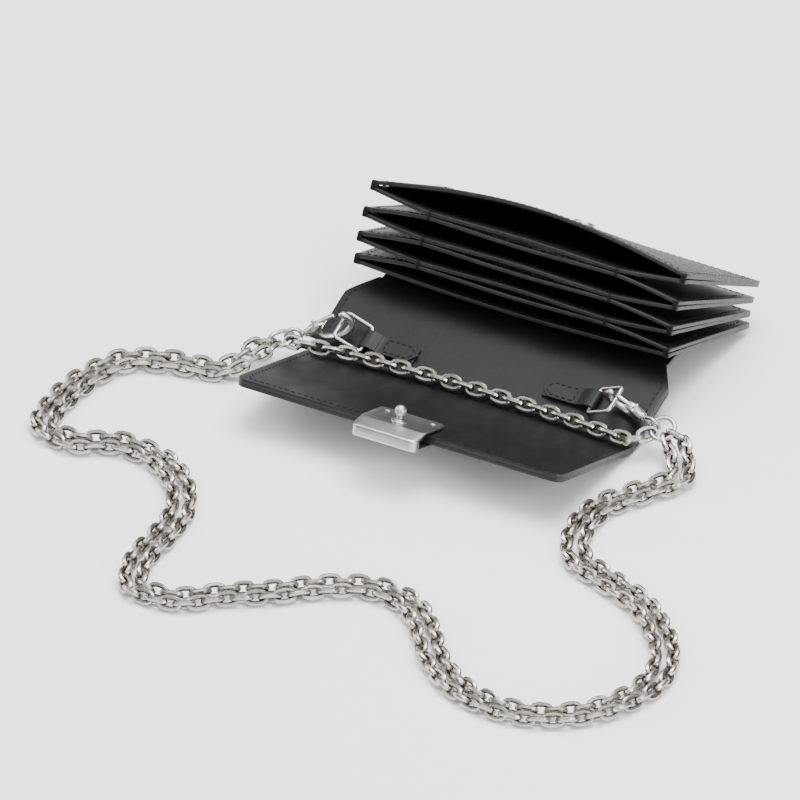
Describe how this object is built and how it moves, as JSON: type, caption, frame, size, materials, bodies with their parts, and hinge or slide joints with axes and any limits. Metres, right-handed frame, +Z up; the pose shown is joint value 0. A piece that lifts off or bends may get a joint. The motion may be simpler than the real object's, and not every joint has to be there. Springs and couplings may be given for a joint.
{
  "type": "chain wallet",
  "caption": "Open leather wallet with a snap flap, a fan of joined card pockets, and a long link chain clipped to two D-rings by lobster clasps.",
  "frame": {"origin": "bottom centre of the leather body's box, on the surface that the open wallet lies on", "axes": "+X along the fold to the right, +Y from the flap to the pockets, +Z up"},
  "size_m": [0.3394, 0.3262, 0.0689],
  "materials": {
    "black_leather": "smooth black calf leather with a satin sheen",
    "grained_leather": "black pebble-grained leather",
    "board": "stiffening board inside the flap",
    "satin_nickel": "satin brushed nickel",
    "chain_steel": "polished steel, slightly darkened in the corners"
  },
  "bodies": {
    "root": {"spine_outer": "black_leather", "spine_lining": "black_leather", "fold_strip": "black_leather", "tab_left": "black_leather", "tab_right": "black_leather", "pocket_4_lower": "black_leather", "chain_long_a": "chain_steel", "chain_long_b": "chain_steel", "chain_short": "chain_steel", "ring_left": "chain_steel", "ring_right": "chain_steel", "lobster_left_body": "satin_nickel", "lobster_right_body": "satin_nickel", "lobster_left_pin": "chain_steel", "lobster_right_pin": "chain_steel"},
    "panel_3": {"pocket_4_upper": "black_leather", "pocket_3_lower": "black_leather"},
    "panel_2": {"pocket_3_upper": "black_leather", "pocket_2_lower": "black_leather"},
    "panel_1": {"pocket_2_upper": "black_leather", "pocket_1_lower": "black_leather"},
    "front_panel": {"pocket_1_upper": "grained_leather", "snap_socket": "satin_nickel"},
    "flap": {"flap_outer": "black_leather", "flap_lining": "black_leather", "flap_stiffener": "board", "clasp_cap": "satin_nickel", "clasp_stud": "satin_nickel", "clasp_rivet_left": "chain_steel", "clasp_rivet_right": "chain_steel"},
    "d_ring_left": {"d_ring_left": "chain_steel"},
    "d_ring_right": {"d_ring_right": "chain_steel"},
    "eye_left": {"lobster_left_eye": "satin_nickel"},
    "eye_right": {"lobster_right_eye": "satin_nickel"},
    "gate_left": {"lobster_left_gate": "satin_nickel"},
    "gate_right": {"lobster_right_gate": "satin_nickel"}
  },
  "joints": [
    {"name": "flap_hinge", "type": "hinge", "parent": "root", "child": "flap", "pos_m": [0, -0.01976, 0.00181], "axis": [-1, 0, 0], "range_deg": [-16.5, 35], "deforming": ["chain_short"]},
    {"name": "pocket_4_fan", "type": "hinge", "parent": "root", "child": "panel_3", "pos_m": [0, 0.08774, 0.00406], "axis": [-1, 0, 0], "range_deg": [-3, 3], "deforming": ["pocket_4_upper"]},
    {"name": "pocket_3_fan", "type": "hinge", "parent": "panel_3", "child": "panel_2", "pos_m": [0, 0.08869, 0.00946], "axis": [-1, 0, 0], "range_deg": [-3, 3], "deforming": ["pocket_3_upper"]},
    {"name": "pocket_2_fan", "type": "hinge", "parent": "panel_2", "child": "panel_1", "pos_m": [0, 0.09154, 0.01486], "axis": [-1, 0, 0], "range_deg": [-3, 3], "deforming": ["pocket_2_upper"]},
    {"name": "pocket_1_fan", "type": "hinge", "parent": "panel_1", "child": "front_panel", "pos_m": [0, 0.09629, 0.02026], "axis": [-1, 0, 0], "range_deg": [-3, 3], "deforming": ["pocket_1_upper"]},
    {"name": "d_ring_left_swing", "type": "hinge", "parent": "root", "child": "d_ring_left", "pos_m": [-0.056, -0.0102, 0.00977], "axis": [0, 0.9363, 0.3511], "range_deg": [-4, 1]},
    {"name": "eye_left_swivel", "type": "hinge", "parent": "root", "child": "eye_left", "pos_m": [-0.07146, -0.01508, 0.01439], "axis": [0.8037, 0.5525, 0.221], "range_deg": [-20, 20]},
    {"name": "gate_left_hinge", "type": "hinge", "parent": "root", "child": "gate_left", "pos_m": [-0.07746, -0.01931, 0.01678], "axis": [-0.5702, 0.8212, 0.0204], "range_deg": [0, 18], "stiffness_Nm_per_rad": 0.004, "springref_deg": -17.19},
    {"name": "d_ring_right_swing", "type": "hinge", "parent": "root", "child": "d_ring_right", "pos_m": [0.053, -0.0062, 0.01127], "axis": [0, 0.9363, 0.3511], "range_deg": [-1.3, 4]},
    {"name": "eye_right_swivel", "type": "hinge", "parent": "root", "child": "eye_right", "pos_m": [0.06928, -0.00925, 0.01618], "axis": [-0.9693, 0.1837, 0.1633], "range_deg": [-20, 20]},
    {"name": "gate_right_hinge", "type": "hinge", "parent": "root", "child": "gate_right", "pos_m": [0.0759, -0.01248, 0.0185], "axis": [-0.2408, -0.8425, -0.4819], "range_deg": [0, 18], "stiffness_Nm_per_rad": 0.004, "springref_deg": -17.19}
  ],
  "couplings": [
    {"joint": "pocket_3_fan", "follows": "pocket_4_fan", "ratio": 1},
    {"joint": "pocket_2_fan", "follows": "pocket_4_fan", "ratio": 1},
    {"joint": "pocket_1_fan", "follows": "pocket_4_fan", "ratio": 1}
  ]
}
